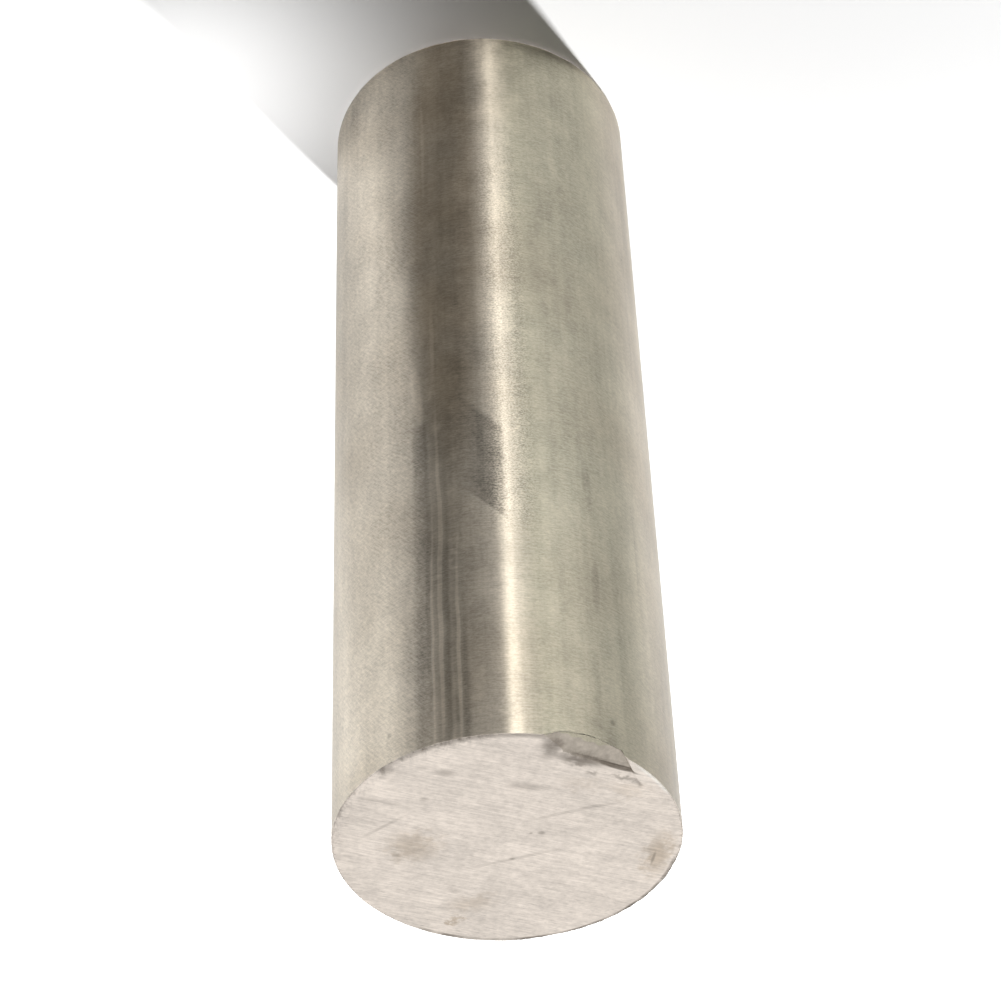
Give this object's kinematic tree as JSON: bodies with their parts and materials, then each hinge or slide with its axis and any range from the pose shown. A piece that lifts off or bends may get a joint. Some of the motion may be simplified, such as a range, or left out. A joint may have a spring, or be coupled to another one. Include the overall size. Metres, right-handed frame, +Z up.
{
  "type": "round metal bar",
  "caption": "Solid round bar of ground steel, sawn square at each end, with a small torn breakout on the rim of one end.",
  "frame": {"origin": "on the floor, under the bar's axis", "axes": "+Z up along the bar's axis, towards the end with the breakout; -Y on the side of the breakout"},
  "size_m": [0.0508, 0.0508, 0.1524],
  "materials": {
    "steel": "side ground round and round to a fine satin, ends band-sawn and left dull"
  },
  "bodies": {
    "root": {"round_bar": "steel"}
  },
  "joints": []
}
